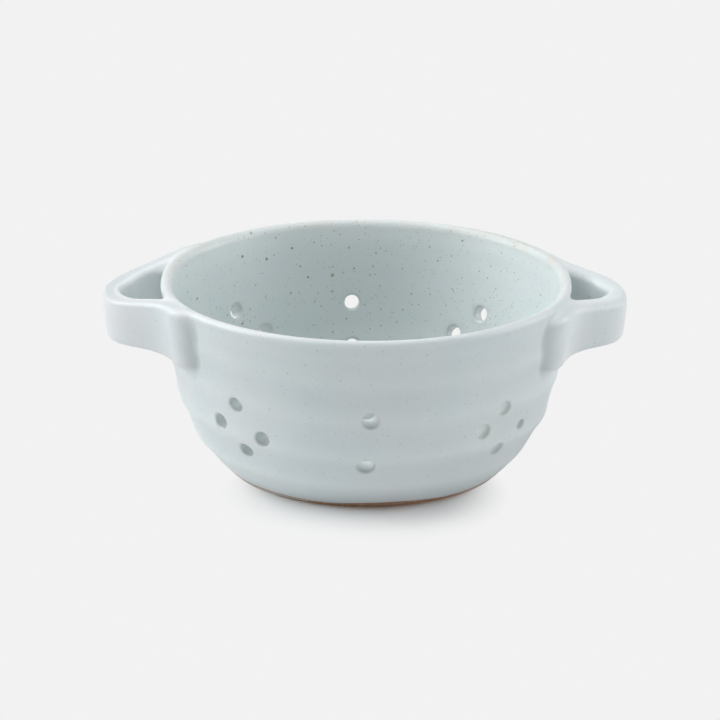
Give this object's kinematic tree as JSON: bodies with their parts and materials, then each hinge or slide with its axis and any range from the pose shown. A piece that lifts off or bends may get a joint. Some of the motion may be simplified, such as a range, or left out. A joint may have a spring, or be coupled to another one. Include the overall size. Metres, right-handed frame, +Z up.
{
  "type": "berry bowl",
  "caption": "Round glazed stoneware bowl with punched drain holes, a bare foot ring and strap handles on opposite sides, for rinsing and serving berries.",
  "frame": {"origin": "middle of the foot ring, on the surface that the bowl stands on", "axes": "+Z up along the bowl's axis, +X out through the middle of the right handle, -Y to the front"},
  "size_m": [0.1932, 0.152, 0.0707],
  "materials": {
    "glaze": "satin",
    "bare_clay": "matte"
  },
  "bodies": {
    "root": {"bowl_body": "glaze", "foot_ring": "bare_clay", "left_handle": "glaze", "right_handle": "glaze"}
  },
  "joints": []
}
